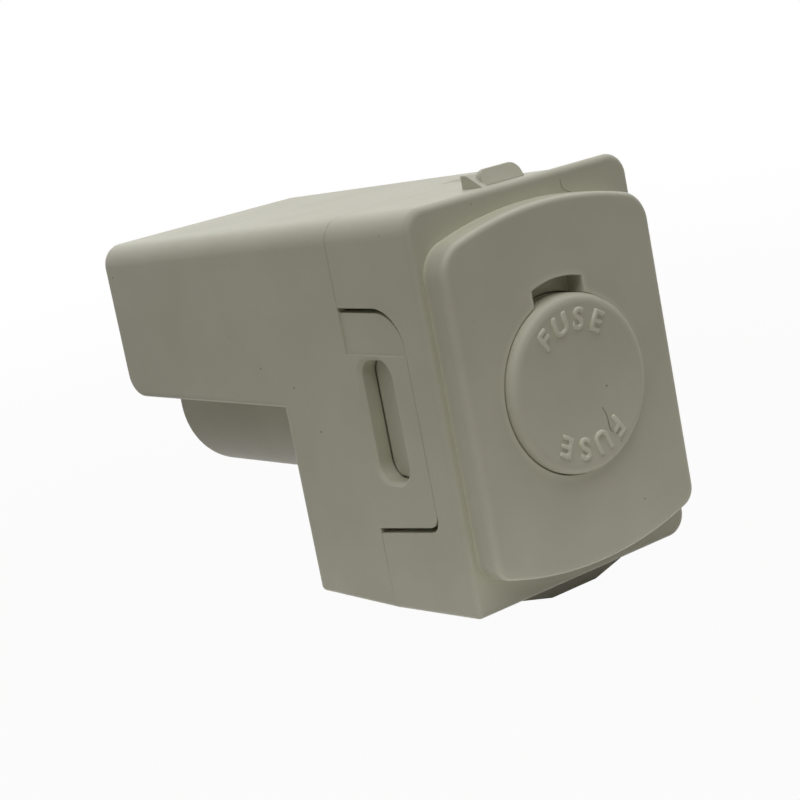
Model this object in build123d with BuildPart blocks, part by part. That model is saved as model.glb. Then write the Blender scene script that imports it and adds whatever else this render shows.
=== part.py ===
"""Fused spur module: a snap-together housing with a fuse carrier that pulls out of its face."""
import os

from build123d import *

# The frame has X to the right seen from the face, Y back into the wall and Z up.
# Its origin is on the carrier axis at the shoulder. All lengths are millimetres.

# Body outline
body_width = 25.8
body_top = 18.0
body_bottom = 17.65
belly_drop = 0.3
rear_top = 15.6
block_depth = 50.2
block_underside = 0.15
lower_depth = 23.1
parting_depth = 11.65
seam_gap = 0.04

# Edge roundings of the body
top_edge_radius = 2.1
body_edge_radius = 0.6
heel_radius = 2.3
foot_corner_radius = 2.0

# Walls of the two mouldings
housing_wall = 1.1
rear_wall = 1.2
frame_wall = 1.8
front_wall = 2.6

# Round-bottomed fuse trough under the block
trough_shelf = 5.3
trough_drop = 2.25
trough_end_chamfer = 0.5

# Side tabs of the housing and the slits around them
tab_front = 3.15
tab_top = 9.33
tab_bottom = 9.55
tab_slope = 0.095
tab_root = 3.0
tab_slit = 0.45
tab_nose_gap = 0.03
tab_upper_radius = 3.6
tab_lower_radius = 1.3
tab_step = 0.15
tab_step_height = 5.6

# Windows in the tabs
window_width = 4.3
window_height = 11.0
window_radius = 1.6
window_depth = 8.2
window_drop = 0.4
window_rim_chamfer = 0.35

# Relief in one side of the top, which slopes down through the frame and up again in the housing
relief_start = 4.3
relief_lip = 0.7
relief_drop = 2.9
relief_run = 4.5
relief_stop = 1.2

# Snap arms of the frame
arm_gap = 0.25
arm_thickness = 1.2
arm_height = 14.0
arm_reach = 0.6
barb_height = 1.1
barb_tail = 0.3
barb_gap = 0.25

# Catches that hold the module in a grid frame
top_catch_front = 1.7
top_catch_length = 1.0
top_catch_ramp = 0.7
top_catch_width = 4.6
top_catch_rise = 1.3
top_catch_radius = 0.9
rib_thickness = 0.6
rib_rise = 1.02
rib_front = 1.3
rib_length = 2.65
rib_crest = 0.7
bottom_catch_front = 2.2
bottom_catch_length = 1.4
bottom_catch_width = 18.0
bottom_catch_crest = 5.4
bottom_catch_rise = 1.6

# Face plate
plate_width = 24.05
plate_height = 32.2
plate_crown = 2.1
plate_thickness = 2.66
plate_upper_radius = 3.0
plate_lower_radius = 1.8
plate_edge_radius = 0.5
notch_width = 5.9
notch_reach = 1.4
notch_depth = 2.0
peg_width = 2.0
peg_length = 2.2
peg_spacing_x = 19.0
peg_spacing_z = 24.0
peg_gap = 0.05

# Fuse carrier
head_radius = 7.85
head_gap = 0.1
head_proud = 1.0
head_seat = 0.6
seat_gap = 0.1
rim_radius = 0.8
rim_width = 0.9
dish_depth = 0.3
dish_flat_radius = 2.0
groove_depth = 0.7
groove_width = 0.9
groove_setback = 2.1
stem_radius = 6.0
guide_gap = 0.1
guide_wall = 1.3
guide_length = 14.0
stem_window_start = 4.0
stem_web = 3.5
stem_window_height = 7.0
prong_width = 5.4

# Cartridge fuse
fuse_length = 25.4
fuse_radius = 3.175
fuse_end_room = 6.1
fuse_barrel_radius = 2.9
cap_length = 5.6
cap_wall = 0.25
fuse_gap = 0.12
cup_length = 2.5
prong_reach = 4.0

# Contact clips and straps
strip_thickness = 0.6
clip_gap = 0.25
clip_length = 4.4
clip_leg = 2.6
bridge_gap = 0.5
blade_height = 3.6
blade_end_gap = 0.5
front_clip_gap = 0.6

# Terminals and their screws
terminal_width = 4.5
terminal_height = 9.0
terminal_length = 7.5
terminal_gap = 0.1
tunnel_length = 4.0
tunnel_wall = 0.7
wire_radius = 1.5
wire_entry_radius = 1.7
wire_setback = 2.8
screw_radius = 1.5
thread_gap = 0.05
screw_head_radius = 2.0
screw_head_length = 2.0
screw_head_gap = 0.2
screw_slot_width = 0.6
screw_slot_depth = 0.9
screw_travel = 2.0
screw_rise = 6.0
screw_tip_gap = 0.2

# Insulating retainer above the fuse
retainer_wall = 1.2
retainer_gap = 0.2
retainer_wing = 2.0


def top_height(depth):
    """Height of the sloping top at a depth behind the shoulder."""
    return body_top - (body_top - rear_top) * depth / block_depth


# Places that follow from the sizes above
half_width = body_width / 2
inner_half_width = half_width - housing_wall
trough_radius = half_width - trough_shelf
block_floor = block_underside + housing_wall
cavity_end = block_depth - rear_wall
trough_inner_radius = trough_radius - housing_wall
head_front = -plate_thickness - head_proud
stem_start = head_seat - seat_gap
guide_radius = stem_radius + guide_gap
fuse_rear = cavity_end - fuse_end_room
fuse_front = fuse_rear - fuse_length
cup_end = fuse_front + cup_length
stem_end = cup_end + prong_reach
stem_window_end = fuse_front - stem_web
socket_radius = fuse_radius + fuse_gap
bridge_bottom = stem_radius + bridge_gap
bridge_top = bridge_bottom + strip_thickness
leg_inner = fuse_radius + clip_gap
leg_outer = leg_inner + strip_thickness
front_clip_start = cup_end + front_clip_gap
rear_clip_start = fuse_rear - cap_length + clip_gap
terminal_outer = inner_half_width - terminal_gap
terminal_inner = terminal_outer - terminal_width
terminal_rear = cavity_end - tunnel_length
terminal_front = terminal_rear - terminal_length
wire_x = terminal_outer - terminal_width / 2
wire_depth = terminal_front + wire_setback
screw_height = block_floor + screw_rise
screw_tip = wire_depth + wire_radius + screw_tip_gap
screw_shoulder = terminal_rear + screw_travel + terminal_gap
tunnel_radius = screw_head_radius + screw_head_gap
arm_outer = half_width - frame_wall - arm_gap
arm_end = parting_depth + arm_reach
barb_length = window_width - 2 * barb_gap
barb_front = window_depth - barb_length / 2
frame_roof = top_height(parting_depth) - frame_wall
frame_floor = frame_wall - body_bottom
relief_bottom = body_top - relief_drop
relief_roof = relief_bottom - frame_wall
relief_inner = relief_start - frame_wall
relief_end = parting_depth + relief_run
housing_roof = top_height(parting_depth) - housing_wall
plate_shoulder = plate_height / 2 - plate_crown
dish_radius = head_radius - rim_width
dish_floor = head_front + dish_depth
groove_front = head_front + groove_setback
thread_end = screw_tip - screw_travel - screw_tip_gap
blade_top = bridge_bottom + blade_height
retainer_front = max(guide_length, relief_end + relief_stop) + retainer_gap
retainer_top = top_height(cavity_end) - housing_wall - retainer_gap
retainer_half_width = terminal_inner - strip_thickness - retainer_gap
wing_half_width = inner_half_width - retainer_gap
wing_inner = terminal_inner + retainer_gap
wing_bottom = block_floor + retainer_gap


def at_depth(depth):
    """Plane across the body, facing forward, at a depth behind the shoulder."""
    return Plane.XZ.offset(-depth)


def on_side(side, distance):
    """Plane along one side of the body: side is -1 for the left and 1 for the right."""
    return Plane.YZ.offset(side * distance)


def side_form(top_front, top_rear, rear, underside, lower_rear, bottom):
    """L-shaped side view of the body, drawn with depth to the right and height up.

    The bottom is lowest at the parting, as both mouldings taper away from it.
    """
    with BuildSketch() as section:
        with BuildLine():
            Polyline(
                (0, top_front),
                (rear, top_rear),
                (rear, underside),
                (lower_rear, underside),
                (lower_rear, bottom),
                (parting_depth, bottom - belly_drop),
                (0, bottom),
                close=True,
            )
        make_face()
    return section.sketch


def trough_section(radius, rim):
    """Round-bottomed channel section with straight walls up to the rim height."""
    with BuildSketch() as section:
        with BuildLine():
            Polyline((-radius, -trough_drop), (-radius, rim), (radius, rim), (radius, -trough_drop))
            ThreePointArc((radius, -trough_drop), (0, -trough_drop - radius), (-radius, -trough_drop))
        make_face()
    return section.sketch


def tab_section(nose_gap, slit, rear):
    """D-shaped outline of a side tab, grown by a gap at its nose and a slit above and below."""
    front = tab_front - nose_gap
    top = tab_top + slit
    bottom = -tab_bottom - slit
    rear_bottom = bottom - tab_slope * (rear - front)
    with BuildSketch() as section:
        with BuildLine():
            Polyline((rear, top), (front, top), (front, bottom), (rear, rear_bottom), close=True)
        make_face()
        fillet(section.vertices().group_by(Axis.X)[0].sort_by(Axis.Y)[-1], tab_upper_radius)
        fillet(section.vertices().group_by(Axis.X)[0].sort_by(Axis.Y)[0], tab_lower_radius)
    return section.sketch


os.makedirs("parts", exist_ok=True)

# Outside form shared by the housing and the frame, so that they meet flush
with BuildPart() as outside:
    with BuildSketch(Plane.YZ) as side_view:
        add(side_form(body_top, rear_top, block_depth, block_underside, lower_depth, -body_bottom))
        heel = side_view.vertices().group_by(Axis.X)[-1].sort_by(Axis.Y)[0]
        fillet(heel, heel_radius)
    extrude(amount=half_width, both=True)
    top_face = outside.faces().sort_by(Axis.Z)[-1]
    fillet(top_face.edges().filter_by(Axis.X, reverse=True), top_edge_radius)
    # One lower corner of the body is well rounded, the other only a little
    feet = outside.faces().sort_by(Axis.Z)[:2]
    corners = [foot.edges().filter_by(Axis.X, reverse=True).sort_by(Axis.X)[-1] for foot in feet]
    fillet(corners, foot_corner_radius)
    front_face, lower_rear_face, rear_face = outside.faces().filter_by(Axis.Y).sort_by(Axis.Y)
    front_foot, rear_foot = outside.faces().sort_by(Axis.Z)[:2]
    rims = front_face.edges() + lower_rear_face.edges().sort_by(Axis.Z)[:-1]
    rims.append(front_foot.edges().filter_by(Axis.X, reverse=True).sort_by(Axis.X)[0])
    rims.append(rear_foot.edges().filter_by(Axis.X, reverse=True).sort_by(Axis.X)[0])
    rims += rear_face.edges().sort_by(Axis.Z)[1:]
    fillet(rims, body_edge_radius)

# Inside form of the housing
with BuildPart() as hollow:
    with BuildSketch(Plane.YZ):
        add(
            side_form(
                top_height(0) - housing_wall,
                top_height(cavity_end) - housing_wall,
                cavity_end,
                block_floor,
                lower_depth - housing_wall,
                housing_wall - body_bottom,
            )
        )
    extrude(amount=inner_half_width, both=True)
    roof = hollow.faces().sort_by(Axis.Z)[-1]
    fillet(roof.edges().filter_by(Axis.X, reverse=True), top_edge_radius - housing_wall)

# Outside of the fuse trough, with its rear end chamfered
with BuildPart() as trough:
    with BuildSketch(at_depth(lower_depth - housing_wall)):
        add(trough_section(trough_radius, block_floor))
    extrude(amount=lower_depth - housing_wall - block_depth)
    trough_end = trough.faces().sort_by(Axis.Y)[-1]
    chamfer(trough_end.edges().filter_by(Axis.X, reverse=True), trough_end_chamfer)

# Rear housing
with BuildPart() as rear_housing:
    add(outside.part)
    split(bisect_by=at_depth(parting_depth), keep=Keep.BOTTOM)
    add(trough.part)
    add(hollow.part, mode=Mode.SUBTRACT)
    with BuildSketch(at_depth(0)):
        add(trough_section(trough_inner_radius, block_floor))
    extrude(amount=-cavity_end, mode=Mode.SUBTRACT)
    # Tunnels that stop the terminals and lead a driver to their screws
    with BuildSketch(at_depth(terminal_rear)):
        with Locations((-wire_x, screw_height), (wire_x, screw_height)):
            Circle(tunnel_radius + tunnel_wall)
    extrude(amount=-tunnel_length)
    with BuildSketch(at_depth(terminal_rear)):
        with Locations((-wire_x, screw_height), (wire_x, screw_height)):
            Circle(tunnel_radius)
    extrude(amount=terminal_rear - block_depth, mode=Mode.SUBTRACT)
    # Wire entries in the underside of the block, one each side of the trough
    with BuildSketch(Plane.XY.offset(block_underside)):
        with Locations((-wire_x, wire_depth), (wire_x, wire_depth)):
            Circle(wire_entry_radius)
    extrude(amount=housing_wall, mode=Mode.SUBTRACT)
    # End of the relief that starts in the frame, over a thickened roof
    with BuildSketch(at_depth(parting_depth)):
        with Locations(((relief_inner + inner_half_width) / 2, (relief_roof + housing_roof) / 2)):
            Rectangle(inner_half_width - relief_inner, housing_roof - relief_roof)
    extrude(amount=parting_depth - relief_end - relief_stop)
    with BuildSketch(on_side(1, relief_start)):
        with BuildLine():
            Polyline(
                (parting_depth, relief_bottom),
                (relief_end, top_height(relief_end)),
                (relief_end, body_top),
                (parting_depth, body_top),
                close=True,
            )
        make_face()
    extrude(amount=half_width - relief_start, mode=Mode.SUBTRACT)
    # Side tabs with their stepped upper part and window
    for side in (-1, 1):
        with BuildSketch(on_side(side, half_width)):
            add(tab_section(0, 0, parting_depth + tab_root))
        extrude(amount=-side * frame_wall)
        with BuildSketch(on_side(side, half_width)):
            with Locations(((tab_front + parting_depth) / 2, (tab_step_height + tab_top) / 2)):
                Rectangle(parting_depth - tab_front, tab_top - tab_step_height)
        extrude(amount=-side * tab_step, mode=Mode.SUBTRACT)
        with BuildSketch(on_side(side, half_width)):
            with Locations((window_depth, -window_drop)):
                RectangleRounded(window_width, window_height, window_radius)
        extrude(amount=-side * frame_wall, mode=Mode.SUBTRACT)
        outward = Axis((0, 0, 0), (side, 0, 0))
        chamfer(rear_housing.edges(Select.LAST).group_by(outward)[-1], window_rim_chamfer)
rear_housing.part.label = "rear_housing"
export_step(rear_housing.part, "parts/rear_housing.step")

# Round-cornered ramp on top that snaps behind a grid frame
with BuildPart() as top_catch:
    with BuildSketch(at_depth(top_catch_front)) as catch_view:
        with Locations((0, body_top)):
            Rectangle(top_catch_width, 2 * top_catch_rise)
        fillet(catch_view.vertices().group_by(Axis.Y)[-1], top_catch_radius)
    extrude(amount=-top_catch_length)
    ramp = Plane((0, top_catch_front, body_top), x_dir=(1, 0, 0), z_dir=(0, -top_catch_rise, top_catch_ramp))
    split(bisect_by=ramp, keep=Keep.BOTTOM)


def barb(side):
    """Round-cornered barb that fills a window, its face sloping away to the rear."""
    with BuildPart() as block:
        with BuildSketch(on_side(side, arm_outer)):
            with Locations((window_depth, -window_drop)):
                RectangleRounded(barb_length, window_height - 2 * barb_gap, window_radius - barb_gap)
        extrude(amount=side * barb_height)
        slope_start = (side * (arm_outer + barb_height), barb_front, 0)
        slope = Plane(slope_start, x_dir=(0, 0, 1), z_dir=(side * barb_length, barb_height - barb_tail, 0))
        split(bisect_by=slope, keep=Keep.BOTTOM)
    return block.part


# Front frame
with BuildPart() as front_frame:
    add(outside.part)
    split(bisect_by=at_depth(parting_depth - seam_gap), keep=Keep.TOP)
    with BuildSketch(at_depth(front_wall)):
        with Locations((0, (frame_roof + frame_floor) / 2)):
            Rectangle(body_width - 2 * frame_wall, frame_roof - frame_floor)
    extrude(amount=front_wall - parting_depth, mode=Mode.SUBTRACT)
    # Sloping relief in the top, over a lower roof
    with BuildSketch(at_depth(front_wall)):
        with Locations(((relief_inner + half_width - frame_wall) / 2, (relief_roof + frame_roof) / 2)):
            Rectangle(half_width - frame_wall - relief_inner, frame_roof - relief_roof)
    extrude(amount=front_wall + seam_gap - parting_depth)
    with BuildSketch(on_side(1, relief_start)):
        with BuildLine():
            Polyline(
                (relief_lip, top_height(relief_lip)),
                (parting_depth, relief_bottom),
                (parting_depth, body_top),
                (relief_lip, body_top),
                close=True,
            )
        make_face()
    extrude(amount=half_width - relief_start, mode=Mode.SUBTRACT)
    # Guide for the carrier stem and the seat for its head
    with BuildSketch(at_depth(0)):
        Circle(guide_radius + guide_wall)
    extrude(amount=-guide_length)
    with BuildSketch(at_depth(0)):
        Circle(guide_radius)
    extrude(amount=-guide_length, mode=Mode.SUBTRACT)
    with BuildSketch(at_depth(0)):
        Circle(head_radius + head_gap)
    extrude(amount=-head_seat, mode=Mode.SUBTRACT)
    # Holes for the pegs of the face plate
    with BuildSketch(at_depth(0)):
        with GridLocations(peg_spacing_x, peg_spacing_z, 2, 2):
            Rectangle(peg_width + 2 * peg_gap, peg_width + 2 * peg_gap)
    extrude(amount=-front_wall, mode=Mode.SUBTRACT)
    for side in (-1, 1):
        # Notch for the side tab
        with BuildSketch(on_side(side, half_width)):
            add(tab_section(tab_nose_gap, tab_slit, parting_depth))
        extrude(amount=-side * frame_wall, mode=Mode.SUBTRACT)
        # Snap arm behind the tab
        with BuildSketch(on_side(side, arm_outer)):
            with Locations(((front_wall / 2 + arm_end) / 2, 0)):
                Rectangle(arm_end - front_wall / 2, arm_height)
        extrude(amount=-side * arm_thickness)
        add(barb(side))
    # Catch above, with a rib that stiffens it, and the wide lip below
    add(top_catch.part)
    with BuildSketch(on_side(-1, top_catch_width / 2)):
        with BuildLine():
            Polyline(
                (rib_front, body_top - frame_wall / 2),
                (rib_front, top_height(rib_front)),
                (rib_front + rib_length - rib_crest, body_top + rib_rise),
                (rib_front + rib_length, body_top + rib_rise),
                (rib_front + rib_length, body_top - frame_wall / 2),
                close=True,
            )
        make_face()
    extrude(amount=-rib_thickness)
    with BuildSketch(at_depth(bottom_catch_front)):
        with BuildLine():
            Polyline(
                (-bottom_catch_width / 2, frame_wall / 2 - body_bottom),
                (-bottom_catch_width / 2, -body_bottom),
                (-bottom_catch_crest / 2, -body_bottom - bottom_catch_rise),
                (bottom_catch_crest / 2, -body_bottom - bottom_catch_rise),
                (bottom_catch_width / 2, -body_bottom),
                (bottom_catch_width / 2, frame_wall / 2 - body_bottom),
                close=True,
            )
        make_face()
    extrude(amount=-bottom_catch_length)
front_frame.part.label = "front_frame"
export_step(front_frame.part, "parts/front_frame.step")

# Face plate
with BuildPart() as face_plate:
    with BuildSketch(at_depth(0)) as plate_view:
        with BuildLine():
            Line((-plate_width / 2, -plate_shoulder), (-plate_width / 2, plate_shoulder))
            ThreePointArc(
                (-plate_width / 2, plate_shoulder),
                (0, plate_height / 2),
                (plate_width / 2, plate_shoulder),
            )
            Line((plate_width / 2, plate_shoulder), (plate_width / 2, -plate_shoulder))
            ThreePointArc(
                (plate_width / 2, -plate_shoulder),
                (0, -plate_height / 2),
                (-plate_width / 2, -plate_shoulder),
            )
        make_face()
        fillet(plate_view.vertices().group_by(Axis.Y)[-1], plate_upper_radius)
        fillet(plate_view.vertices().group_by(Axis.Y)[0], plate_lower_radius)
    extrude(amount=plate_thickness)
    fillet(face_plate.faces().sort_by(Axis.Y)[0].edges(), plate_edge_radius)
    with BuildSketch(at_depth(0)):
        Circle(head_radius + head_gap)
    extrude(amount=plate_thickness, mode=Mode.SUBTRACT)
    # Notch beside the head for the blade that prises it out
    with BuildSketch(at_depth(-plate_thickness)):
        Circle(head_radius + head_gap + notch_reach)
        with Locations((0, head_radius)):
            Rectangle(notch_width, head_radius, mode=Mode.INTERSECT)
    extrude(amount=-notch_depth, mode=Mode.SUBTRACT)
    with BuildSketch(at_depth(0)):
        with GridLocations(peg_spacing_x, peg_spacing_z, 2, 2):
            Rectangle(peg_width, peg_width)
    extrude(amount=-peg_length)
face_plate.part.label = "face_plate"
export_step(face_plate.part, "parts/face_plate.step")

# Fuse carrier: head, pry groove, stem and fuse socket turned about the carrier axis
with BuildPart() as fuse_carrier:
    with BuildSketch(Plane.XY) as carrier_view:
        with BuildLine():
            Line((0, dish_floor), (dish_flat_radius, dish_floor))
            TangentArc((dish_flat_radius, dish_floor), (dish_radius, head_front), tangent=(1, 0))
            Polyline(
                (dish_radius, head_front),
                (head_radius, head_front),
                (head_radius, groove_front),
                (head_radius - groove_depth, groove_front),
                (head_radius - groove_depth, groove_front + groove_width),
                (head_radius, groove_front + groove_width),
                (head_radius, stem_start),
                (stem_radius, stem_start),
                (stem_radius, stem_end),
                (socket_radius, stem_end),
                (socket_radius, fuse_front),
                (0, fuse_front),
                (0, dish_floor),
            )
        make_face()
        fillet(carrier_view.vertices().group_by(Axis.Y)[0].sort_by(Axis.X)[-1], rim_radius)
    revolve(axis=Axis.Y)
    # Openings through the sides of the stem
    with BuildSketch(Plane.YZ):
        with Locations(((stem_window_start + stem_window_end) / 2, 0)):
            Rectangle(stem_window_end - stem_window_start, stem_window_height)
    extrude(amount=stem_radius, both=True, mode=Mode.SUBTRACT)
    # Only an upper and a lower prong reach past the cup
    with BuildSketch(at_depth(cup_end)):
        Circle(stem_radius * 2)
        Rectangle(prong_width, stem_radius * 4, mode=Mode.SUBTRACT)
    extrude(amount=-prong_reach, mode=Mode.SUBTRACT)
fuse_carrier.part.label = "fuse_carrier"
export_step(fuse_carrier.part, "parts/fuse_carrier.step")

# Cartridge fuse: ceramic barrel and two pressed caps
with BuildPart() as fuse_body:
    with BuildSketch(at_depth(fuse_front + cap_wall)):
        Circle(fuse_barrel_radius)
    extrude(amount=2 * cap_wall - fuse_length)
fuse_body.part.label = "fuse_body"
export_step(fuse_body.part, "parts/fuse_body.step")

with BuildPart() as fuse_cap_front:
    with BuildSketch(at_depth(fuse_front)):
        Circle(fuse_radius)
    extrude(amount=-cap_length)
    with BuildSketch(at_depth(fuse_front + cap_wall)):
        Circle(fuse_radius - cap_wall)
    extrude(amount=cap_wall - cap_length, mode=Mode.SUBTRACT)
fuse_cap_front.part.label = "fuse_cap_front"
export_step(fuse_cap_front.part, "parts/fuse_cap_front.step")

with BuildPart() as fuse_cap_rear:
    mirror(fuse_cap_front.part, about=at_depth(fuse_front + fuse_length / 2))
fuse_cap_rear.part.label = "fuse_cap_rear"
export_step(fuse_cap_rear.part, "parts/fuse_cap_rear.step")


def contact(start, side, blade_end):
    """Folded strip: a clip round a fuse cap and a blade that lies on the terminal of one side."""
    with BuildPart() as strip:
        with BuildSketch(at_depth(start)):
            with Locations((0, (bridge_top - clip_leg) / 2)):
                Rectangle(2 * leg_outer, bridge_top + clip_leg)
            with Locations((0, (bridge_bottom - clip_leg) / 2)):
                Rectangle(2 * leg_inner, bridge_bottom + clip_leg, mode=Mode.SUBTRACT)
            with Locations((side * (leg_inner + terminal_inner) / 2, (bridge_bottom + bridge_top) / 2)):
                Rectangle(terminal_inner - leg_inner, strip_thickness)
        extrude(amount=-clip_length)
        with BuildSketch(on_side(side, terminal_inner)):
            with Locations(((start + blade_end) / 2, bridge_bottom + blade_height / 2)):
                Rectangle(blade_end - start, blade_height)
        extrude(amount=-side * strip_thickness)
    return strip.part


with BuildPart() as front_contact:
    add(contact(front_clip_start, -1, terminal_rear - blade_end_gap))
front_contact.part.label = "front_contact"
export_step(front_contact.part, "parts/front_contact.step")

with BuildPart() as rear_contact:
    add(contact(rear_clip_start, 1, rear_clip_start + clip_length))
rear_contact.part.label = "rear_contact"
export_step(rear_contact.part, "parts/rear_contact.step")


def terminal(side):
    """Brass block with a wire bore from below and a tapped hole from behind."""
    with BuildPart() as block:
        with BuildSketch(Plane.XY.offset(block_floor)):
            with Locations((side * wire_x, (terminal_front + terminal_rear) / 2)):
                Rectangle(terminal_width, terminal_length)
        extrude(amount=terminal_height)
        with BuildSketch(Plane.XY.offset(block_floor)):
            with Locations((side * wire_x, wire_depth)):
                Circle(wire_radius)
        extrude(amount=terminal_height, mode=Mode.SUBTRACT)
        with BuildSketch(at_depth(terminal_rear)):
            with Locations((side * wire_x, screw_height)):
                Circle(screw_radius + thread_gap)
        extrude(amount=terminal_rear - thread_end, mode=Mode.SUBTRACT)
    return block.part


def terminal_screw(side):
    """Slotted screw, backed out until its tip is clear of the wire bore."""
    with BuildPart() as screw:
        with BuildSketch(at_depth(screw_tip)):
            with Locations((side * wire_x, screw_height)):
                Circle(screw_radius)
        extrude(amount=screw_tip - screw_shoulder)
        with BuildSketch(at_depth(screw_shoulder)):
            with Locations((side * wire_x, screw_height)):
                Circle(screw_head_radius)
        extrude(amount=-screw_head_length)
        with BuildSketch(at_depth(screw_shoulder + screw_head_length)):
            with Locations((side * wire_x, screw_height)):
                Rectangle(3 * screw_head_radius, screw_slot_width)
        extrude(amount=screw_slot_depth, mode=Mode.SUBTRACT)
    return screw.part


with BuildPart() as supply_terminal:
    add(terminal(1))
supply_terminal.part.label = "supply_terminal"
export_step(supply_terminal.part, "parts/supply_terminal.step")

with BuildPart() as load_terminal:
    add(terminal(-1))
load_terminal.part.label = "load_terminal"
export_step(load_terminal.part, "parts/load_terminal.step")

with BuildPart() as supply_screw:
    add(terminal_screw(1))
supply_screw.part.label = "supply_screw"
export_step(supply_screw.part, "parts/supply_screw.step")

with BuildPart() as load_screw:
    add(terminal_screw(-1))
load_screw.part.label = "load_screw"
export_step(load_screw.part, "parts/load_screw.step")

# Retainer: a channel over the contacts with wings that stop the terminals
with BuildPart() as contact_retainer:
    with BuildSketch(at_depth(retainer_front)):
        with Locations((0, (bridge_top + retainer_top) / 2)):
            Rectangle(2 * retainer_half_width, retainer_top - bridge_top)
        with Locations((0, (bridge_top + retainer_top - retainer_wall) / 2)):
            Rectangle(
                2 * (retainer_half_width - retainer_wall),
                retainer_top - retainer_wall - bridge_top,
                mode=Mode.SUBTRACT,
            )
    extrude(amount=retainer_front - terminal_rear)
    with BuildSketch(at_depth(terminal_front - retainer_gap)):
        with Locations((0, (blade_top + retainer_gap + retainer_top) / 2)):
            Rectangle(2 * wing_half_width, retainer_top - blade_top - retainer_gap)
        for side in (-1, 1):
            with Locations((side * (wing_inner + wing_half_width) / 2, (wing_bottom + retainer_top) / 2)):
                Rectangle(wing_half_width - wing_inner, retainer_top - wing_bottom)
    extrude(amount=retainer_wing)
contact_retainer.part.label = "contact_retainer"
export_step(contact_retainer.part, "parts/contact_retainer.step")
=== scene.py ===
"""Looks for a fused spur unit: moulded and metal finishes, raised lettering and a plain studio."""

import math

import bpy
from bpy.props import FloatProperty, FloatVectorProperty, PointerProperty, StringProperty
from bpy.types import Operator, Panel, PropertyGroup
from mathutils import Matrix, Vector


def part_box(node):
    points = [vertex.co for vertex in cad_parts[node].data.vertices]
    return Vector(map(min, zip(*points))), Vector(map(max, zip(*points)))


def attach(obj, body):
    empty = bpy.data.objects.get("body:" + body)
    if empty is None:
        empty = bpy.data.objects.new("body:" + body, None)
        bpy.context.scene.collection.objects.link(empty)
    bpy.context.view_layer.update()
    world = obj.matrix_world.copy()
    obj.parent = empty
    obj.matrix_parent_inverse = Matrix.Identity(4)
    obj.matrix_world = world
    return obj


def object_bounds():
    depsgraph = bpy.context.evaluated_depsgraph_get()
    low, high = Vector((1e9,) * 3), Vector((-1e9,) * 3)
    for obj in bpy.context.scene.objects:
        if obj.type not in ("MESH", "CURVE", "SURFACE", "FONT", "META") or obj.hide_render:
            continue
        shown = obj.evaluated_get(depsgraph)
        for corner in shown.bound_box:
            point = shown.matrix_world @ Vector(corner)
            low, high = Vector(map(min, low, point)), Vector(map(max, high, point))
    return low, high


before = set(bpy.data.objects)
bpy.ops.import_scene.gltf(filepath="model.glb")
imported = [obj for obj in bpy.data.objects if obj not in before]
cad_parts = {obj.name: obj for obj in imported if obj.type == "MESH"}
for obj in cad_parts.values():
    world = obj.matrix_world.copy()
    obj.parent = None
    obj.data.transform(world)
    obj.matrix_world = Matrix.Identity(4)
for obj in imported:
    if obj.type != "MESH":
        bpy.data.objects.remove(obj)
cad_low, cad_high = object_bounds()

bl_info = {
    "name": "Fused Spur Unit Looks",
    "version": (1, 0, 0),
    "blender": (4, 5, 0),
    "location": "View3D > Sidebar > Spur Unit",
    "description": "Finishes, lettering and studio for a fused spur unit",
    "category": "Object",
}

MM = 0.001

# Share of the font's size that a capital letter takes, bevel included
CAPITAL_SHARE = 0.8

# The carrier's hollow dish: its depth, the radius of its flat floor and the radius of its edge
DISH_DEPTH = 0.3 * MM
DISH_FLAT_RADIUS = 2.0 * MM
DISH_RADIUS = 6.95 * MM

# Fine flow lines of the moulding, in millimetres across and up: one on the frame's shoulder, one in the dish
# Each is a real raised ridge; its dark colour is painted shade, standing in for the thin shadow line along
# it
FRAME_LINE = ((4.82, 17.0), (4.78, 16.3), (5.16, 15.91), (5.72, 15.69))
DISH_LINE = ((2.04, -2.66), (2.40, -3.44), (2.36, -4.38), (2.49, -5.02))
LINE_RADIUS = 0.045 * MM
LINE_ORDER = 3
LINE_BEVEL_STEPS = 2

# Share of a letter's rise that its rounded edge takes, and the steps round that edge
LETTER_BEVEL_SHARE = 3 / 4
LETTER_BEVEL_STEPS = 3

# Detail of each noise in the skins
CLOUD_DETAIL = 4.0
GRAIN_DETAIL = 2.0
STREAK_DETAIL = 3.0
STAIN_DETAIL = 5.0

# Stretch of each mask's values that is spread over nought to one
CLOUD_RANGE = (0.35, 0.75)
SPECK_RANGE = (0.042, 0.018)
# The edge mask's stretch sets where the painted edge highlight lies
HIGHLIGHT_RANGE = (0.97, 0.55)
STAIN_RANGE = (0.45, 0.75)

# How far grain and streaks swing the roughness
GRAIN_SWING = 0.16
STREAK_SWING = 0.25

# Streaks of each metal per metre, across, along and up, and how close together its stains lie
CAP_STREAKS = (900.0, 120.0, 900.0)
STRIP_STREAKS = (300.0, 2500.0, 300.0)
BRASS_STREAKS = (1500.0, 200.0, 1500.0)
STEEL_STREAKS = (1200.0, 300.0, 1200.0)
STAIN_SCALE = 420.0

# Samples of the painted edge highlight and of the softened edges
HIGHLIGHT_SAMPLES = 8
SOFTEN_SAMPLES = 6

# Strength and depth of each skin's fine relief
PLASTIC_RELIEF = (0.08, 0.05 * MM)
METAL_RELIEF = (0.12, 0.02 * MM)
GLAZE_RELIEF = (0.05, 0.03 * MM)

# The plastic's refraction and reflection, and how much smoother the face is than the casing
PLASTIC_IOR = 1.5
PLASTIC_SPECULAR = 0.35
FACE_SMOOTHER = 0.06

# Room under the lowest point, the floor's side and roughness, how far from the middle its shadow is kept
# and where plain white begins
FLOOR_GAP = 0.02 * MM
FLOOR_SIDE = 6.0
FLOOR_ROUGHNESS = 0.9
SHADOW_REACH = 0.1
WHITE_REACH = 3 * SHADOW_REACH

# Height of the cards over the floor
CARD_RISE = 0.1 * MM

# Width of the camera's sensor in millimetres, and the nearest distance it sees
SENSOR_WIDTH = 36.0
CLIP_START = 5 * MM


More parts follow.
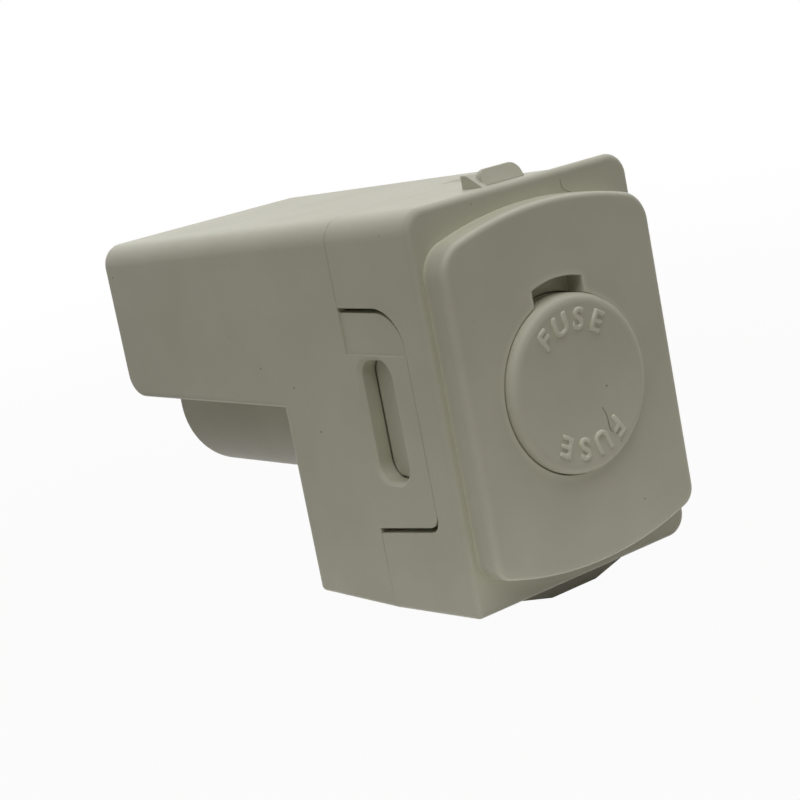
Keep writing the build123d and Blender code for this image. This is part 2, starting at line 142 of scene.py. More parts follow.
class MouldingSettings(PropertyGroup):
    """Colours and grain of the moulded pieces"""

    body: FloatVectorProperty(
        name="Body", description="Colour of the casing's two mouldings",
        subtype="COLOR", default=(0.62, 0.61, 0.495), min=0.0, max=1.0)
    front: FloatVectorProperty(
        name="Front", description="Colour of the face plate and the fuse carrier",
        subtype="COLOR", default=(0.63, 0.615, 0.50), min=0.0, max=1.0)
    shade: FloatVectorProperty(
        name="Shade", description="Slightly darker tone that clouds the mouldings",
        subtype="COLOR", default=(0.57, 0.56, 0.445), min=0.0, max=1.0)
    # Painted highlight: a paler tone along the face's outward edges, standing in for the light they catch,
    # and how far it reaches
    highlight_tone: FloatVectorProperty(
        name="Highlight Tone", description="Paler tone that the outward edges of the face are rubbed to",
        subtype="COLOR", default=(0.75, 0.735, 0.61), min=0.0, max=1.0)
    highlight_reach: FloatProperty(
        name="Highlight Reach", description="How far the rubbed tone reaches from an edge",
        subtype="DISTANCE", unit="LENGTH", default=0.7 * MM, min=0.0)
    # The speck colour also colours the flow lines dark, as painted shade of the shadow line along each ridge
    speck: FloatVectorProperty(
        name="Speck", description="Colour of the specks in the mouldings, and of the fine flow lines",
        subtype="COLOR", default=(0.24, 0.22, 0.16), min=0.0, max=1.0)
    speck_scale: FloatProperty(
        name="Speck Scale", description="How close together the specks lie, per metre",
        default=300.0, min=1.0)
    cloud_scale: FloatProperty(
        name="Cloud Scale", description="How close together the clouds lie, per metre",
        default=140.0, min=1.0)
    grain_scale: FloatProperty(
        name="Grain Scale", description="How close together the grain lies, per metre",
        default=5200.0, min=1.0)
    roughness: FloatProperty(
        name="Roughness", description="Mean roughness of the satin skin",
        subtype="FACTOR", default=0.46, min=0.0, max=1.0)
    edge_softness: FloatProperty(
        name="Edge Softness", description="Radius by which the shading rounds sharp edges",
        subtype="DISTANCE", unit="LENGTH", default=0.15 * MM, min=0.0)


class InsideSettings(PropertyGroup):
    """Colours and gloss of the fuse, its contacts and its terminals"""

    glaze: FloatVectorProperty(
        name="Glaze", description="Colour of the fuse's glazed body",
        subtype="COLOR", default=(0.78, 0.76, 0.70), min=0.0, max=1.0)
    glaze_shade: FloatVectorProperty(
        name="Glaze Shade", description="Darker tone that clouds the glaze",
        subtype="COLOR", default=(0.70, 0.67, 0.60), min=0.0, max=1.0)
    glaze_roughness: FloatProperty(
        name="Glaze Roughness", description="Mean roughness of the glaze",
        subtype="FACTOR", default=0.28, min=0.0, max=1.0)
    glaze_cloud_scale: FloatProperty(
        name="Glaze Cloud Scale", description="How close together the glaze's clouds lie, per metre",
        default=300.0, min=1.0)
    cap: FloatVectorProperty(
        name="Cap", description="Colour of the fuse's plated caps",
        subtype="COLOR", default=(0.54, 0.51, 0.46), min=0.0, max=1.0)
    cap_tarnish: FloatVectorProperty(
        name="Cap Tarnish", description="Colour that stains the caps",
        subtype="COLOR", default=(0.36, 0.33, 0.28), min=0.0, max=1.0)
    cap_roughness: FloatProperty(
        name="Cap Roughness", description="Mean roughness of the caps",
        subtype="FACTOR", default=0.24, min=0.0, max=1.0)
    strip: FloatVectorProperty(
        name="Strip", description="Colour of the contact strips",
        subtype="COLOR", default=(0.72, 0.45, 0.30), min=0.0, max=1.0)
    strip_tarnish: FloatVectorProperty(
        name="Strip Tarnish", description="Colour that stains the contact strips",
        subtype="COLOR", default=(0.42, 0.25, 0.17), min=0.0, max=1.0)
    strip_roughness: FloatProperty(
        name="Strip Roughness", description="Mean roughness of the contact strips",
        subtype="FACTOR", default=0.30, min=0.0, max=1.0)
    brass: FloatVectorProperty(
        name="Brass", description="Colour of the terminals",
        subtype="COLOR", default=(0.75, 0.56, 0.28), min=0.0, max=1.0)
    brass_tarnish: FloatVectorProperty(
        name="Brass Tarnish", description="Colour that stains the terminals",
        subtype="COLOR", default=(0.48, 0.34, 0.16), min=0.0, max=1.0)
    brass_roughness: FloatProperty(
        name="Brass Roughness", description="Mean roughness of the terminals",
        subtype="FACTOR", default=0.28, min=0.0, max=1.0)
    steel: FloatVectorProperty(
        name="Steel", description="Colour of the plated screws",
        subtype="COLOR", default=(0.50, 0.485, 0.44), min=0.0, max=1.0)
    steel_tarnish: FloatVectorProperty(
        name="Steel Tarnish", description="Colour that stains the screws",
        subtype="COLOR", default=(0.33, 0.30, 0.25), min=0.0, max=1.0)
    steel_roughness: FloatProperty(
        name="Steel Roughness", description="Mean roughness of the screws",
        subtype="FACTOR", default=0.32, min=0.0, max=1.0)


class LetteringSettings(PropertyGroup):
    """Raised lettering round the carrier's dish"""

    word: StringProperty(
        name="Word", description="Word that stands at the top and, turned round, at the bottom",
        default="FUSE")
    height: FloatProperty(
        name="Height", description="Height of a letter",
        subtype="DISTANCE", unit="LENGTH", default=2.05 * MM, min=0.0)
    ring_radius: FloatProperty(
        name="Ring Radius", description="Distance of a letter's middle from the carrier's axis",
        subtype="DISTANCE", unit="LENGTH", default=5.8 * MM, min=0.0)
    step: FloatProperty(
        name="Step", description="Angle from one letter to the next",
        subtype="ANGLE", unit="ROTATION", default=math.radians(21.8))
    turn: FloatProperty(
        name="Turn", description="How far both words are turned to the left",
        subtype="ANGLE", unit="ROTATION", default=math.radians(2.0))
    rise: FloatProperty(
        name="Rise", description="How far the letters stand proud of the dish",
        subtype="DISTANCE", unit="LENGTH", default=0.24 * MM, min=0.0)
    weight: FloatProperty(
        name="Weight", description="How far each letter's outline is thickened, or thinned below nought",
        subtype="DISTANCE", unit="LENGTH", default=-0.085 * MM)


class StudioSettings(PropertyGroup):
    """Floor, lamps and camera"""

    floor: FloatVectorProperty(
        name="Floor", description="Colour of the floor",
        subtype="COLOR", default=(0.30, 0.28, 0.23), min=0.0, max=1.0)
    floor_white: FloatProperty(
        name="Floor White", description="Share of plain white that the camera sees under the unit",
        subtype="FACTOR", default=0.96, min=0.0, max=1.0)
    room: FloatVectorProperty(
        name="Room", description="Light that comes from the room all round",
        subtype="COLOR", default=(0.03, 0.028, 0.024), min=0.0, max=1.0)
    left_power: FloatProperty(
        name="Left Power", description="Power of the soft box in front and to the left",
        unit="POWER", default=1.63, min=0.0)
    left_azimuth: FloatProperty(
        name="Left Azimuth", description="Turn of the left soft box round the unit",
        subtype="ANGLE", unit="ROTATION", default=math.radians(-45.0))
    right_power: FloatProperty(
        name="Right Power", description="Power of the soft box on the right",
        unit="POWER", default=1.3, min=0.0)
    right_azimuth: FloatProperty(
        name="Right Azimuth", description="Turn of the right soft box round the unit",
        subtype="ANGLE", unit="ROTATION", default=math.radians(90.0))
    side_elevation: FloatProperty(
        name="Side Elevation", description="Height of the left and right soft boxes as an angle",
        subtype="ANGLE", unit="ROTATION", default=math.radians(60.0))
    rear_power: FloatProperty(
        name="Rear Power", description="Power of the soft box behind the unit",
        unit="POWER", default=0.8, min=0.0)
    rear_elevation: FloatProperty(
        name="Rear Elevation", description="Height of the soft box behind the unit as an angle",
        subtype="ANGLE", unit="ROTATION", default=math.radians(20.0))
    lamp_distance: FloatProperty(
        name="Lamp Distance", description="Distance of the soft boxes from the unit",
        subtype="DISTANCE", unit="LENGTH", default=0.6, min=0.0)
    lamp_size: FloatProperty(
        name="Lamp Size", description="Side of the soft boxes",
        subtype="DISTANCE", unit="LENGTH", default=0.6, min=0.0)
    front_card: FloatProperty(
        name="Front Card", description="Power that a card on the floor throws back at the face",
        unit="POWER", default=0.0023, min=0.0)
    left_card: FloatProperty(
        name="Left Card", description="Power that a card on the floor throws back at the left side",
        unit="POWER", default=0.002, min=0.0)
    card_size: FloatProperty(
        name="Card Size", description="Side of both cards",
        subtype="DISTANCE", unit="LENGTH", default=0.05, min=0.0)
    card_tuck: FloatProperty(
        name="Card Tuck", description="How far both cards reach under the unit",
        subtype="DISTANCE", unit="LENGTH", default=0.0015, min=0.0)
    azimuth: FloatProperty(
        name="Azimuth", description="Camera's turn round the unit, nought being square to the face",
        subtype="ANGLE", unit="ROTATION", default=math.radians(-36.58))
    elevation: FloatProperty(
        name="Elevation", description="Camera's height as an angle",
        subtype="ANGLE", unit="ROTATION", default=math.radians(11.43))
    roll: FloatProperty(
        name="Roll", description="Camera's tilt about its own line of sight",
        subtype="ANGLE", unit="ROTATION", default=math.radians(-11.016))
    distance: FloatProperty(
        name="Distance", description="Camera's distance from the point it looks at",
        subtype="DISTANCE", unit="LENGTH", default=194.41 * MM, min=0.0)
    aim: FloatVectorProperty(
        name="Aim", description="Point the camera looks at",
        subtype="TRANSLATION", unit="LENGTH", default=(-5.606 * MM, 15.0 * MM, -0.699 * MM))
    lens: FloatProperty(
        name="Lens", description="Focal length on a sensor 36 millimetres wide",
        unit="CAMERA", default=95.924, min=1.0)


def new_group(name, inputs, outputs):
    """Makes an empty shader group with named sockets and returns it with its two ends."""
    group = bpy.data.node_groups.new(name, "ShaderNodeTree")
    for label, kind in inputs:
        group.interface.new_socket(name=label, in_out="INPUT", socket_type=kind)
    for label, kind in outputs:
        group.interface.new_socket(name=label, in_out="OUTPUT", socket_type=kind)
    return group, group.nodes.new("NodeGroupInput"), group.nodes.new("NodeGroupOutput")


def noise_node(tree, place, scale, detail):
    """Adds a noise texture read at a place, with its scale linked or set."""
    noise = tree.nodes.new("ShaderNodeTexNoise")
    noise.inputs["Detail"].default_value = detail
    tree.links.new(place, noise.inputs["Vector"])
    if isinstance(scale, (int, float)):
        noise.inputs["Scale"].default_value = scale
    else:
        tree.links.new(scale, noise.inputs["Scale"])
    return noise


def spread_node(tree, value, low, high):
    """Adds a map range that spreads a stretch of values over nought to one."""
    spread = tree.nodes.new("ShaderNodeMapRange")
    spread.inputs["From Min"].default_value = low
    spread.inputs["From Max"].default_value = high
    tree.links.new(value, spread.inputs["Value"])
    return spread


def blend_node(tree, factor, first, second):
    """Adds a colour mix and returns its result socket."""
    mix = tree.nodes.new("ShaderNodeMix")
    mix.data_type = "RGBA"
    tree.links.new(factor, mix.inputs["Factor"])
    tree.links.new(first, mix.inputs["A"])
    tree.links.new(second, mix.inputs["B"])
    return mix.outputs["Result"]


def around_node(tree, value, middle, swing):
    """Adds a value that swings about a middle as a noise goes from nought to one."""
    centred = tree.nodes.new("ShaderNodeMath")
    centred.operation = "SUBTRACT"
    centred.inputs[1].default_value = 0.5
    tree.links.new(value, centred.inputs[0])
    swung = tree.nodes.new("ShaderNodeMath")
    swung.operation = "MULTIPLY_ADD"
    swung.inputs[1].default_value = swing
    tree.links.new(centred.outputs[0], swung.inputs[0])
    tree.links.new(middle, swung.inputs[2])
    return swung.outputs[0]


def moulded_skin():
    """The group that clouds, specks and grains a moulded skin, built once."""
    name = "moulded_skin"
    if name in bpy.data.node_groups:
        return bpy.data.node_groups[name]
    group, entry, leave = new_group(
        name,
        [("Place", "NodeSocketVector"), ("Colour", "NodeSocketColor"), ("Shade", "NodeSocketColor"),
         ("Speck", "NodeSocketColor"), ("Cloud Scale", "NodeSocketFloat"),
         ("Grain Scale", "NodeSocketFloat"), ("Speck Scale", "NodeSocketFloat"),
         ("Roughness", "NodeSocketFloat")],
        [("Colour", "NodeSocketColor"), ("Roughness", "NodeSocketFloat"), ("Height", "NodeSocketFloat")])
    cloud = noise_node(group, entry.outputs["Place"], entry.outputs["Cloud Scale"], CLOUD_DETAIL)
    clouds = spread_node(group, cloud.outputs["Fac"], *CLOUD_RANGE)
    clouded = blend_node(group, clouds.outputs["Result"], entry.outputs["Colour"], entry.outputs["Shade"])
    cells = group.nodes.new("ShaderNodeTexVoronoi")
    group.links.new(entry.outputs["Place"], cells.inputs["Vector"])
    group.links.new(entry.outputs["Speck Scale"], cells.inputs["Scale"])
    specks = spread_node(group, cells.outputs["Distance"], *SPECK_RANGE)
    colour = blend_node(group, specks.outputs["Result"], clouded, entry.outputs["Speck"])
    grain = noise_node(group, entry.outputs["Place"], entry.outputs["Grain Scale"], GRAIN_DETAIL)
    roughness = around_node(group, grain.outputs["Fac"], entry.outputs["Roughness"], GRAIN_SWING)
    group.links.new(colour, leave.inputs["Colour"])
    group.links.new(roughness, leave.inputs["Roughness"])
    group.links.new(grain.outputs["Fac"], leave.inputs["Height"])
    return group


def rubbed_edges():
    """The group that paints a highlight along outward edges by paling a colour, built once."""
    name = "rubbed_edges"
    if name in bpy.data.node_groups:
        return bpy.data.node_groups[name]
    group, entry, leave = new_group(
        name,
        [("Colour", "NodeSocketColor"), ("Highlight Tone", "NodeSocketColor"), ("Reach", "NodeSocketFloat")],
        [("Colour", "NodeSocketColor")])
    inside = group.nodes.new("ShaderNodeAmbientOcclusion")
    inside.inside = True
    inside.only_local = True
    inside.samples = HIGHLIGHT_SAMPLES
    group.links.new(entry.outputs["Reach"], inside.inputs["Distance"])
    # Outward edges get the painted highlight
    edges = spread_node(group, inside.outputs["AO"], *HIGHLIGHT_RANGE)
    colour = blend_node(group, edges.outputs["Result"], entry.outputs["Colour"], entry.outputs["Highlight Tone"])
    group.links.new(colour, leave.inputs["Colour"])
    return group


def drawn_metal():
    """The group that streaks and dulls a drawn or turned metal, built once."""
    name = "drawn_metal"
    if name in bpy.data.node_groups:
        return bpy.data.node_groups[name]
    group, entry, leave = new_group(
        name,
        [("Place", "NodeSocketVector"), ("Stretch", "NodeSocketVector"), ("Colour", "NodeSocketColor"),
         ("Tarnish", "NodeSocketColor"), ("Roughness", "NodeSocketFloat")],
        [("Colour", "NodeSocketColor"), ("Roughness", "NodeSocketFloat"), ("Height", "NodeSocketFloat")])
    lay = group.nodes.new("ShaderNodeVectorMath")
    lay.operation = "MULTIPLY"
    group.links.new(entry.outputs["Place"], lay.inputs[0])
    group.links.new(entry.outputs["Stretch"], lay.inputs[1])
    streak = noise_node(group, lay.outputs["Vector"], 1.0, STREAK_DETAIL)
    stain = noise_node(group, entry.outputs["Place"], STAIN_SCALE, STAIN_DETAIL)
    stains = spread_node(group, stain.outputs["Fac"], *STAIN_RANGE)
    colour = blend_node(group, stains.outputs["Result"], entry.outputs["Colour"], entry.outputs["Tarnish"])
    roughness = around_node(group, streak.outputs["Fac"], entry.outputs["Roughness"], STREAK_SWING)
    group.links.new(colour, leave.inputs["Colour"])
    group.links.new(roughness, leave.inputs["Roughness"])
    group.links.new(streak.outputs["Fac"], leave.inputs["Height"])
    return group


def start_material(name, group, values, relief):
    """Makes a material from a skin group and its relief, and returns it with its shader and bump."""
    material = bpy.data.materials.new(name)
    material.use_nodes = True
    tree = material.node_tree
    shader = tree.nodes["Principled BSDF"]
    place = tree.nodes.new("ShaderNodeTexCoord")
    skin = tree.nodes.new("ShaderNodeGroup")
    skin.node_tree = group
    tree.links.new(place.outputs["Object"], skin.inputs["Place"])
    for label, value in values.items():
        skin.inputs[label].default_value = value
    tree.links.new(skin.outputs["Colour"], shader.inputs["Base Color"])
    tree.links.new(skin.outputs["Roughness"], shader.inputs["Roughness"])
    bump = tree.nodes.new("ShaderNodeBump")
    bump.inputs["Strength"].default_value, bump.inputs["Distance"].default_value = relief
    tree.links.new(skin.outputs["Height"], bump.inputs["Height"])
    tree.links.new(bump.outputs["Normal"], shader.inputs["Normal"])
    return material, shader, bump


def soften_edges(material, bump, radius):
    """Rounds the shading of sharp edges by a small radius, under the grain."""
    tree = material.node_tree
    bevel = tree.nodes.new("ShaderNodeBevel")
    bevel.samples = SOFTEN_SAMPLES
    bevel.inputs["Radius"].default_value = radius
    tree.links.new(bevel.outputs["Normal"], bump.inputs["Normal"])


def paint_highlight_edges(material, settings):
    """Paints a highlight along outward edges by paling the colour, over the skin."""
    tree = material.node_tree
    shader = tree.nodes["Principled BSDF"]
    highlight_node = tree.nodes.new("ShaderNodeGroup")
    highlight_node.node_tree = rubbed_edges()
    highlight_node.inputs["Highlight Tone"].default_value = (*settings.highlight_tone, 1.0)
    highlight_node.inputs["Reach"].default_value = settings.highlight_reach
    skin_colour = shader.inputs["Base Color"].links[0].from_socket
    tree.links.new(skin_colour, highlight_node.inputs["Colour"])
    tree.links.new(highlight_node.outputs["Colour"], shader.inputs["Base Color"])


def moulded_material(name, colour, settings, roughness=None):
    """A satin moulded plastic, clouded, specked and grained about one colour."""
    material, shader, bump = start_material(name, moulded_skin(), {
        "Colour": (*colour, 1.0),
        "Shade": (*settings.shade, 1.0),
        "Speck": (*settings.speck, 1.0),
        "Cloud Scale": settings.cloud_scale,
        "Grain Scale": settings.grain_scale,
        "Speck Scale": settings.speck_scale,
        "Roughness": settings.roughness if roughness is None else roughness,
    }, PLASTIC_RELIEF)
    shader.inputs["IOR"].default_value = PLASTIC_IOR
    shader.inputs["Specular IOR Level"].default_value = PLASTIC_SPECULAR
    soften_edges(material, bump, settings.edge_softness)
    return material


def metal_material(name, colour, tarnish, stretch, roughness):
    """A bare or plated metal, streaked along its lay."""
    material, shader, _ = start_material(name, drawn_metal(), {
        "Colour": (*colour, 1.0),
        "Tarnish": (*tarnish, 1.0),
        "Stretch": stretch,
        "Roughness": roughness,
    }, METAL_RELIEF)
    shader.inputs["Metallic"].default_value = 1.0
    return material


def dress(material, *nodes):
    """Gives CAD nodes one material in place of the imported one."""
    for node in nodes:
        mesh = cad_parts[node].data
        mesh.materials.clear()
        mesh.materials.append(material)


class SPURUNIT_OT_casing(Operator):
    """Finish the rear housing and the front frame as satin mouldings"""

    bl_idname = "spur_unit.casing"
    bl_label = "Casing"

    def execute(self, context):
        settings = context.scene.spur_moulding
        dress(moulded_material("housing_moulding", settings.body, settings), "rear_housing")
        dress(moulded_material("frame_moulding", settings.body, settings), "front_frame")
        return {"FINISHED"}


class SPURUNIT_OT_face(Operator):
    """Finish the face plate and the fuse carrier, whose skins are a little smoother, with a painted
    highlight along their outward edges
    """

    bl_idname = "spur_unit.face"
    bl_label = "Face"

    def execute(self, context):
        settings = context.scene.spur_moulding
        smoother = settings.roughness - FACE_SMOOTHER
        for name, node in (("plate_moulding", "face_plate"), ("carrier_moulding", "fuse_carrier")):
            material = moulded_material(name, settings.front, settings, smoother)
            # Painted highlight along the outward edges of the face plate and the carrier
            paint_highlight_edges(material, settings)
            dress(material, node)
        return {"FINISHED"}


def letter_mesh(letter, height, depth, weight):
    """One upright letter as a mesh, its middle on the origin and its back on the plane."""
    curve = bpy.data.curves.new("letter", "FONT")
    curve.body = letter
    curve.align_x = "CENTER"
    curve.size = height / CAPITAL_SHARE
    curve.offset = weight
    curve.extrude = depth * (1 - LETTER_BEVEL_SHARE)
    curve.bevel_depth = depth * LETTER_BEVEL_SHARE
    curve.bevel_resolution = LETTER_BEVEL_STEPS
    holder = bpy.data.objects.new("letter", curve)
    mesh = bpy.data.meshes.new_from_object(holder)
    bpy.data.objects.remove(holder)
    bpy.data.curves.remove(curve)
    mesh.transform(Matrix.Translation((0.0, -height / 2, 0.0)))
    return mesh


def dish_drop(radius):
    """Depth of the carrier's dish at a distance from the axis."""
    share = max(0.0, radius - DISH_FLAT_RADIUS) / (DISH_RADIUS - DISH_FLAT_RADIUS)
    return DISH_DEPTH * (1 - share ** 2)


def join_meshes(name, meshes):
    """Joins loose meshes into one object."""
    objects = [bpy.data.objects.new(name, mesh) for mesh in meshes]
    for one in objects:
        bpy.context.scene.collection.objects.link(one)
    with bpy.context.temp_override(active_object=objects[0], selected_editable_objects=objects):
        bpy.ops.object.join()
    return objects[0]


class SPURUNIT_OT_lettering(Operator):
    """Raise the word twice round the carrier's dish"""

    bl_idname = "spur_unit.lettering"
    bl_label = "Lettering"

    def execute(self, context):
        settings = context.scene.spur_lettering
        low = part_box("fuse_carrier")[0]
        face_on = Matrix(((1, 0, 0, 0), (0, 0, -1, low.y), (0, 1, 0, 0), (0, 0, 0, 1)))
        meshes = []
        for word_turn in (0.0, math.pi):
            first = word_turn - settings.turn - settings.step * (len(settings.word) - 1) / 2
            for count, letter in enumerate(settings.word):
                turn = Matrix.Rotation(-first - count * settings.step, 4, "Z")
                out = Matrix.Translation((0.0, settings.ring_radius, 0.0))
                mesh = letter_mesh(letter, settings.height, settings.rise, settings.weight)
                mesh.transform(turn @ out)
                for point in mesh.vertices:
                    point.co.z -= dish_drop(point.co.to_2d().length)
                mesh.transform(face_on)
                meshes.append(mesh)
        lettering = join_meshes("carrier_lettering", meshes)
        lettering.data.materials.clear()
        lettering.data.materials.append(bpy.data.materials["carrier_moulding"])
        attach(lettering, "carrier")
        return {"FINISHED"}


def line_object(name, points):
    """A fine round line along a smooth curve that a few points steer."""
    curve = bpy.data.curves.new(name, "CURVE")
    curve.dimensions = "3D"
    curve.bevel_depth = LINE_RADIUS
    curve.bevel_resolution = LINE_BEVEL_STEPS
    curve.use_fill_caps = True
    spline = curve.splines.new("NURBS")
    spline.points.add(len(points) - 1)
    for point, place in zip(spline.points, points):
        point.co = (*place, 1.0)
    spline.order_u = LINE_ORDER
    spline.use_endpoint_u = True
    holder = bpy.data.objects.new(name, curve)
    line = bpy.data.objects.new(name, bpy.data.meshes.new_from_object(holder))
    bpy.data.objects.remove(holder)
    bpy.data.curves.remove(curve)
    # The holder had this name until it was removed
    line.name = name
    bpy.context.scene.collection.objects.link(line)
    return line


class SPURUNIT_OT_flow_lines(Operator):
    """Draw the fine flow lines of the moulding on the shoulder and in the dish, as raised ridges coloured
    dark with painted shade
    """

    bl_idname = "spur_unit.flow_lines"
    bl_label = "Flow Lines"

    def execute(self, context):
        settings = context.scene.spur_moulding
        # The speck colour makes the lines dark: painted shade of the shadow line along each ridge
        material = moulded_material("flow_line", settings.speck, settings)
        shoulder = [(across * MM, 0.0, up * MM) for across, up in FRAME_LINE]
        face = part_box("fuse_carrier")[0].y
        dish = [(across * MM, face + dish_drop(math.hypot(across, up) * MM), up * MM)
                for across, up in DISH_LINE]
        for name, points, body, slot in (("frame_flow_line", shoulder, "housing", "frame_plastic"),
                                         ("carrier_flow_line", dish, "carrier", "carrier_plastic")):
            line = line_object(name, points)
            line.data.materials.clear()
            line.data.materials.append(material)
            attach(line, body)
        return {"FINISHED"}


class SPURUNIT_OT_fuse(Operator):
    """Finish the cartridge fuse: glazed body and plated caps"""

    bl_idname = "spur_unit.fuse"
    bl_label = "Fuse"

    def execute(self, context):
        settings = context.scene.spur_moulding
        inside = context.scene.spur_inside
        glaze, _, _ = start_material("fuse_glaze", moulded_skin(), {
            "Colour": (*inside.glaze, 1.0),
            "Shade": (*inside.glaze_shade, 1.0),
            "Speck": (*settings.speck, 1.0),
            "Cloud Scale": inside.glaze_cloud_scale,
            "Grain Scale": settings.grain_scale,
            "Speck Scale": settings.speck_scale,
            "Roughness": inside.glaze_roughness,
        }, GLAZE_RELIEF)
        dress(glaze, "fuse_body")
        plate = metal_material(
            "cap_plating", inside.cap, inside.cap_tarnish, CAP_STREAKS, inside.cap_roughness)
        dress(plate, "fuse_cap_front", "fuse_cap_rear")
        return {"FINISHED"}


class SPURUNIT_OT_conductors(Operator):
    """Finish the contact strips, the terminals, their screws and the retainer"""

    bl_idname = "spur_unit.conductors"
    bl_label = "Conductors"

    def execute(self, context):
        settings = context.scene.spur_moulding
        inside = context.scene.spur_inside
        strip = metal_material(
            "contact_strip", inside.strip, inside.strip_tarnish, STRIP_STREAKS, inside.strip_roughness)
        brass = metal_material(
            "terminal_brass", inside.brass, inside.brass_tarnish, BRASS_STREAKS, inside.brass_roughness)
        steel = metal_material(
            "screw_steel", inside.steel, inside.steel_tarnish, STEEL_STREAKS, inside.steel_roughness)
        dress(strip, "front_contact", "rear_contact")
        dress(brass, "supply_terminal", "load_terminal")
        dress(steel, "supply_screw", "load_screw")
        dress(moulded_material("retainer_moulding", settings.shade, settings), "contact_retainer")
        return {"FINISHED"}


def seen_factor(tree):
    """Adds the mask of rays that look at the room: the camera's, and glossy or transmitted ones."""
    path = tree.nodes.new("ShaderNodeLightPath")
    seen = path.outputs["Is Camera Ray"]
    for label in ("Is Glossy Ray", "Is Transmission Ray"):
        either = tree.nodes.new("ShaderNodeMath")
        either.operation = "MAXIMUM"
        tree.links.new(seen, either.inputs[0])
        tree.links.new(path.outputs[label], either.inputs[1])
        seen = either.outputs[0]
    return seen


def floor_material(settings):
    """A pale floor that looks near white and still keeps a faint shadow."""
    material = bpy.data.materials.new("studio_floor")
    material.use_nodes = True
    tree = material.node_tree
    shader = tree.nodes["Principled BSDF"]
    shader.inputs["Base Color"].default_value = (*settings.floor, 1.0)
    shader.inputs["Roughness"].default_value = FLOOR_ROUGHNESS
    shader.inputs["Specular IOR Level"].default_value = 0.0
    white = tree.nodes.new("ShaderNodeEmission")
    place = tree.nodes.new("ShaderNodeTexCoord")
    reach = tree.nodes.new("ShaderNodeVectorMath")
    reach.operation = "LENGTH"
    tree.links.new(place.outputs["Object"], reach.inputs[0])
    fade = tree.nodes.new("ShaderNodeMapRange")
    fade.inputs["From Min"].default_value = SHADOW_REACH
    fade.inputs["From Max"].default_value = WHITE_REACH
    fade.inputs["To Min"].default_value = settings.floor_white
    tree.links.new(reach.outputs["Value"], fade.inputs["Value"])
    share = tree.nodes.new("ShaderNodeMath")
    share.operation = "MULTIPLY"
    tree.links.new(seen_factor(tree), share.inputs[0])
    tree.links.new(fade.outputs["Result"], share.inputs[1])
    mix = tree.nodes.new("ShaderNodeMixShader")
    tree.links.new(share.outputs[0], mix.inputs["Fac"])
    tree.links.new(shader.outputs["BSDF"], mix.inputs[1])
    tree.links.new(white.outputs["Emission"], mix.inputs[2])
    tree.links.new(mix.outputs["Shader"], tree.nodes["Material Output"].inputs["Surface"])
    return material


def light_room(scene, settings):
    """A white room to look at, and a dim one to be lit by."""
    world = bpy.data.worlds.new("studio_room")
    scene.world = world
    world.use_nodes = True
    tree = world.node_tree
    dim = tree.nodes["Background"]
    dim.inputs["Color"].default_value = (*settings.room, 1.0)
    white = tree.nodes.new("ShaderNodeBackground")
    white.inputs["Color"].default_value = (1.0, 1.0, 1.0, 1.0)
    mix = tree.nodes.new("ShaderNodeMixShader")
    tree.links.new(seen_factor(tree), mix.inputs["Fac"])
    tree.links.new(dim.outputs["Background"], mix.inputs[1])
    tree.links.new(white.outputs["Background"], mix.inputs[2])
    tree.links.new(mix.outputs["Shader"], tree.nodes["World Output"].inputs["Surface"])


def looking_back(azimuth, elevation):
    """Direction from the unit to a lamp or camera, and the turn that makes it look back at the unit."""
    back = Vector((math.sin(azimuth) * math.cos(elevation),
                   -math.cos(azimuth) * math.cos(elevation),
                   math.sin(elevation)))
    return back, back.to_track_quat("Z", "Y").to_matrix().to_4x4()


def area_lamp(scene, name, power, size, place):
    """Adds a square lamp that shines along its own downward axis and isn't seen itself."""
    lamp = bpy.data.lights.new(name, "AREA")
    lamp.energy = power
    lamp.size = size
    holder = bpy.data.objects.new(name, lamp)
    holder.matrix_world = place
    holder.visible_camera = False
    scene.collection.objects.link(holder)


def lay_floor(scene, settings, level):
    """Lays the square floor just under the unit."""
    half = FLOOR_SIDE / 2
    mesh = bpy.data.meshes.new("studio_floor")
    corners = [(x * half, y * half, level) for x, y in ((-1, -1), (1, -1), (1, 1), (-1, 1))]
    mesh.from_pydata(corners, [], [(0, 1, 2, 3)])
    floor = bpy.data.objects.new("studio_floor", mesh)
    mesh.materials.append(floor_material(settings))
    scene.collection.objects.link(floor)


def hang_boxes(scene, settings, middle):
    """Hangs the soft boxes round the unit."""
    boxes = (("left_box", settings.left_power, settings.left_azimuth, settings.side_elevation),
             ("right_box", settings.right_power, settings.right_azimuth, settings.side_elevation),
             ("rear_box", settings.rear_power, math.pi, settings.rear_elevation))
    for name, power, azimuth, elevation in boxes:
        back, upright = looking_back(azimuth, elevation)
        hung = Matrix.Translation(middle + settings.lamp_distance * back) @ upright
        area_lamp(scene, name, power, settings.lamp_size, hung)


def lay_cards(scene, settings, middle, level):
    """Lays one card before the face and one beside the front of the left side, both shining up."""
    out = settings.card_size / 2 - settings.card_tuck
    cards = (("front_card", settings.front_card, (middle.x, cad_low.y - out, level)),
             ("left_card", settings.left_card, (cad_low.x - out, middle.y / 2, level)))
    face_up = Matrix.Rotation(math.pi, 4, "X")
    for name, power, place in cards:
        area_lamp(scene, name, power, settings.card_size, Matrix.Translation(place) @ face_up)


def set_camera(scene, settings):
    """Sets the camera at the photograph's viewing angle."""
    camera = bpy.data.cameras.new("photo_camera")
    camera.sensor_width = SENSOR_WIDTH
    camera.lens = settings.lens
    camera.clip_start = CLIP_START
    eye = bpy.data.objects.new("photo_camera", camera)
    back, upright = looking_back(settings.azimuth, settings.elevation)
    place = Matrix.Translation(Vector(settings.aim) + settings.distance * back)
    eye.matrix_world = place @ upright @ Matrix.Rotation(settings.roll, 4, "Z")
    scene.collection.objects.link(eye)
    scene.camera = eye


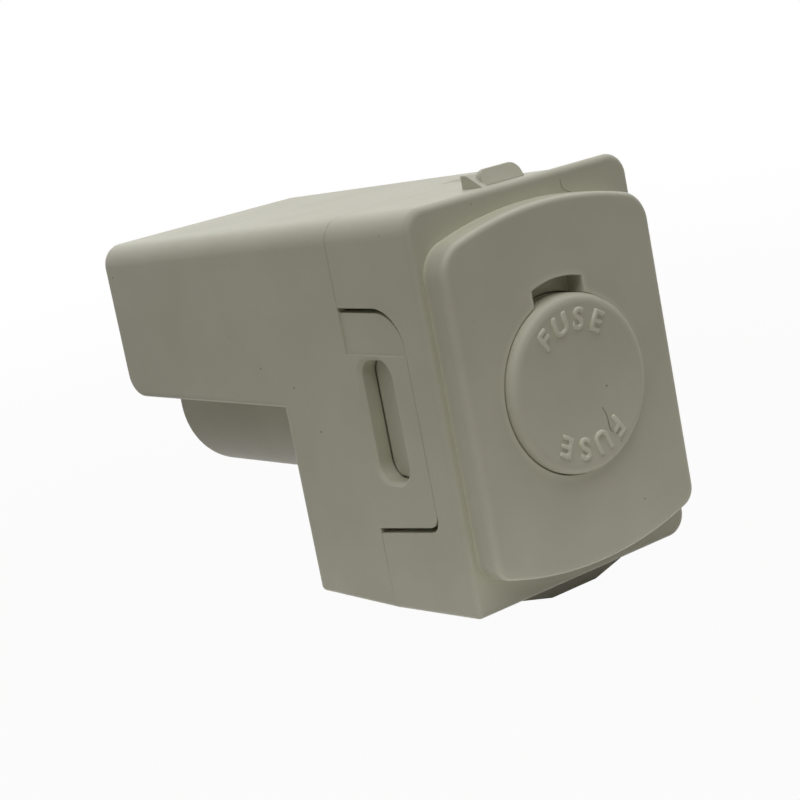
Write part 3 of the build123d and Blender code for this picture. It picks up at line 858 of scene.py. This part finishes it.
class SPURUNIT_OT_studio(Operator):
    """Set the floor, the soft boxes, the cards, the room and the camera"""

    bl_idname = "spur_unit.studio"
    bl_label = "Studio"

    def execute(self, context):
        scene = context.scene
        settings = scene.spur_studio
        scene.view_settings.view_transform = "Standard"
        floor_level = cad_low.z - FLOOR_GAP
        middle = (cad_low + cad_high) / 2
        lay_floor(scene, settings, floor_level)
        light_room(scene, settings)
        hang_boxes(scene, settings, middle)
        lay_cards(scene, settings, middle, floor_level + CARD_RISE)
        set_camera(scene, settings)
        return {"FINISHED"}


class SPURUNIT_PT_looks(Panel):
    """Lists the settings and the steps in the order they are run"""

    bl_idname = "SPURUNIT_PT_looks"
    bl_label = "Fused Spur Unit"
    bl_space_type = "VIEW_3D"
    bl_region_type = "UI"
    bl_category = "Spur Unit"

    def draw(self, context):
        scene = context.scene
        for settings in (scene.spur_moulding, scene.spur_inside, scene.spur_lettering, scene.spur_studio):
            box = self.layout.box()
            for label in settings.__annotations__:
                box.prop(settings, label)
        for step in STEPS:
            self.layout.operator(step.bl_idname)


STEPS = (SPURUNIT_OT_casing, SPURUNIT_OT_face, SPURUNIT_OT_lettering, SPURUNIT_OT_flow_lines,
         SPURUNIT_OT_fuse, SPURUNIT_OT_conductors, SPURUNIT_OT_studio)
CLASSES = (MouldingSettings, InsideSettings, LetteringSettings, StudioSettings, *STEPS, SPURUNIT_PT_looks)


def register():
    for one in CLASSES:
        bpy.utils.register_class(one)
    bpy.types.Scene.spur_moulding = PointerProperty(type=MouldingSettings)
    bpy.types.Scene.spur_inside = PointerProperty(type=InsideSettings)
    bpy.types.Scene.spur_lettering = PointerProperty(type=LetteringSettings)
    bpy.types.Scene.spur_studio = PointerProperty(type=StudioSettings)


def unregister():
    del bpy.types.Scene.spur_studio
    del bpy.types.Scene.spur_lettering
    del bpy.types.Scene.spur_inside
    del bpy.types.Scene.spur_moulding
    for one in reversed(CLASSES):
        bpy.utils.unregister_class(one)


def main():
    register()
    bpy.ops.spur_unit.casing()
    bpy.ops.spur_unit.face()
    bpy.ops.spur_unit.lettering()
    bpy.ops.spur_unit.flow_lines()
    bpy.ops.spur_unit.fuse()
    bpy.ops.spur_unit.conductors()
    bpy.ops.spur_unit.studio()


if __name__ == "__main__":
    main()
